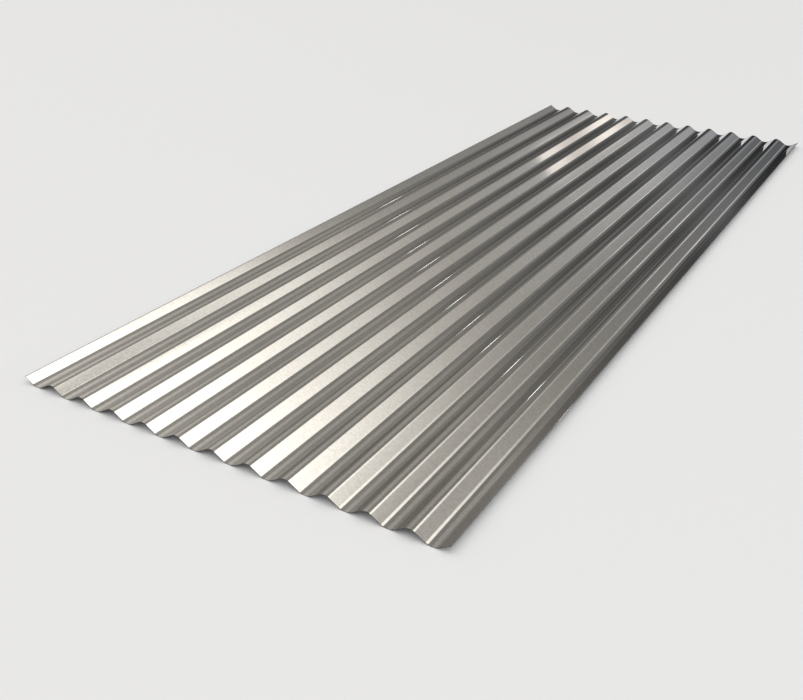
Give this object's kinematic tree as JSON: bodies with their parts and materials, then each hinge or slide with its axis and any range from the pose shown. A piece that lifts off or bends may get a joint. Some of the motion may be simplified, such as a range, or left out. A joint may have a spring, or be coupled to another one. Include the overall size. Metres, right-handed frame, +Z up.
{
  "type": "corrugated metal sheet",
  "caption": "Long galvanised steel sheet rolled into even waves along its length, which lies flat; used to cover roofs and walls, lapped with like sheets.",
  "frame": {"origin": "middle of the underside, in the plane that the troughs rest on", "axes": "+X across the waves, +Y along the waves, +Z up"},
  "size_m": [0.898, 2.44, 0.0168],
  "materials": {
    "galvanised_steel": "zinc-coated rolled steel, satin, with a faint fine spangle and thin roll lines along the waves"
  },
  "bodies": {
    "root": {"corrugated_sheet": "galvanised_steel"}
  },
  "joints": []
}
